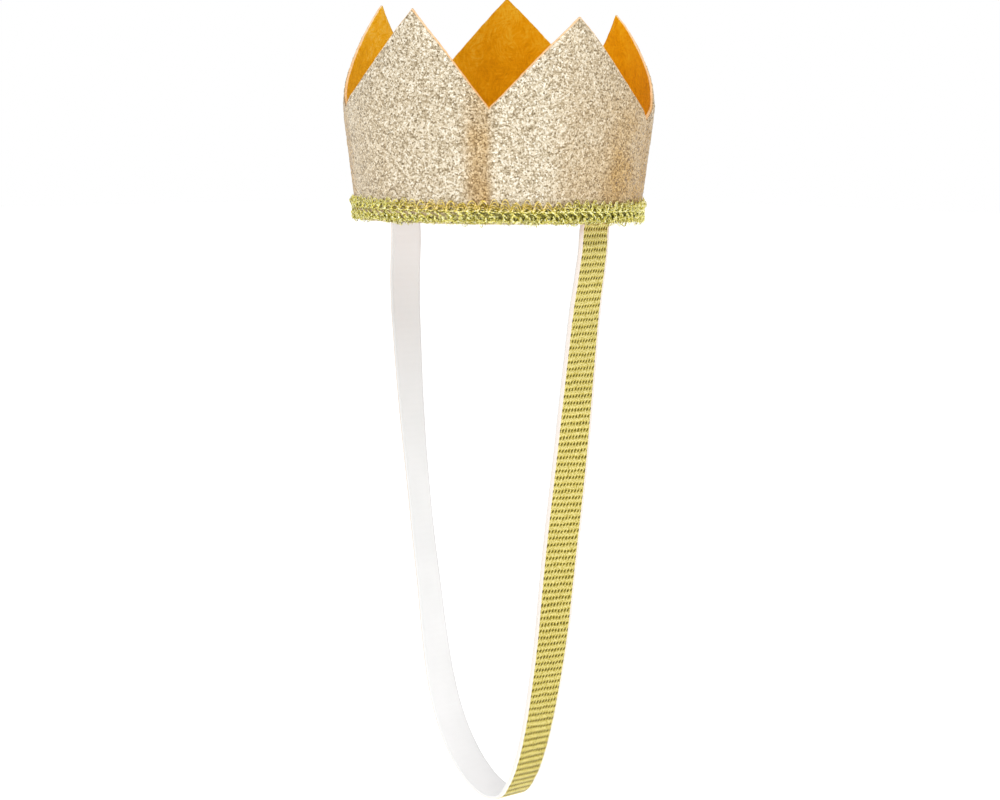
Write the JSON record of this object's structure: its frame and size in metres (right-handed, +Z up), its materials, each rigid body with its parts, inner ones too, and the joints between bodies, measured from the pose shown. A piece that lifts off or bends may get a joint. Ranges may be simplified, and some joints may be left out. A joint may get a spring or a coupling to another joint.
{
  "type": "party crown",
  "caption": "Small felt party crown with glitter-faced points, a metallic braid rim and an elastic chin strap.",
  "frame": {"origin": "centre of the rim's bottom plane, where the wearer's head goes in", "axes": "+Z up through the points; +X through the right sewn end of the strap; the strap hangs in the XZ plane"},
  "size_m": [0.0909, 0.0909, 0.2377],
  "materials": {
    "glitter_sheet": "fabric sheet coated with fine champagne-gold glitter",
    "felt": "ochre wool-blend felt with short loose fibres",
    "metallic_thread": "yellow-gold metallic thread, bright on top and olive in its folds",
    "metallic_elastic": "ribbed elastic ribbon, gold metallic thread outside and plain white inside",
    "sewing_thread": "matt polyester sewing thread"
  },
  "bodies": {
    "crown": {"glitter_shell": "glitter_sheet", "felt_lining": "felt", "trim_lower_loops": "metallic_thread", "trim_core_cord": "metallic_thread", "trim_upper_loops": "metallic_thread", "trim_stitching": "sewing_thread", "seam_stitching": "sewing_thread", "strap_end_right": "metallic_elastic", "strap_end_left": "metallic_elastic", "tack_stitch_right": "sewing_thread", "tack_stitch_left": "sewing_thread"},
    "strap": {"strap_loop": "metallic_elastic"}
  },
  "joints": [
    {"name": "strap_swing", "type": "hinge", "parent": "crown", "child": "strap", "pos_m": [0, 0, -0.0073], "axis": [1, 0, 0], "range_deg": [-90, 90]}
  ]
}
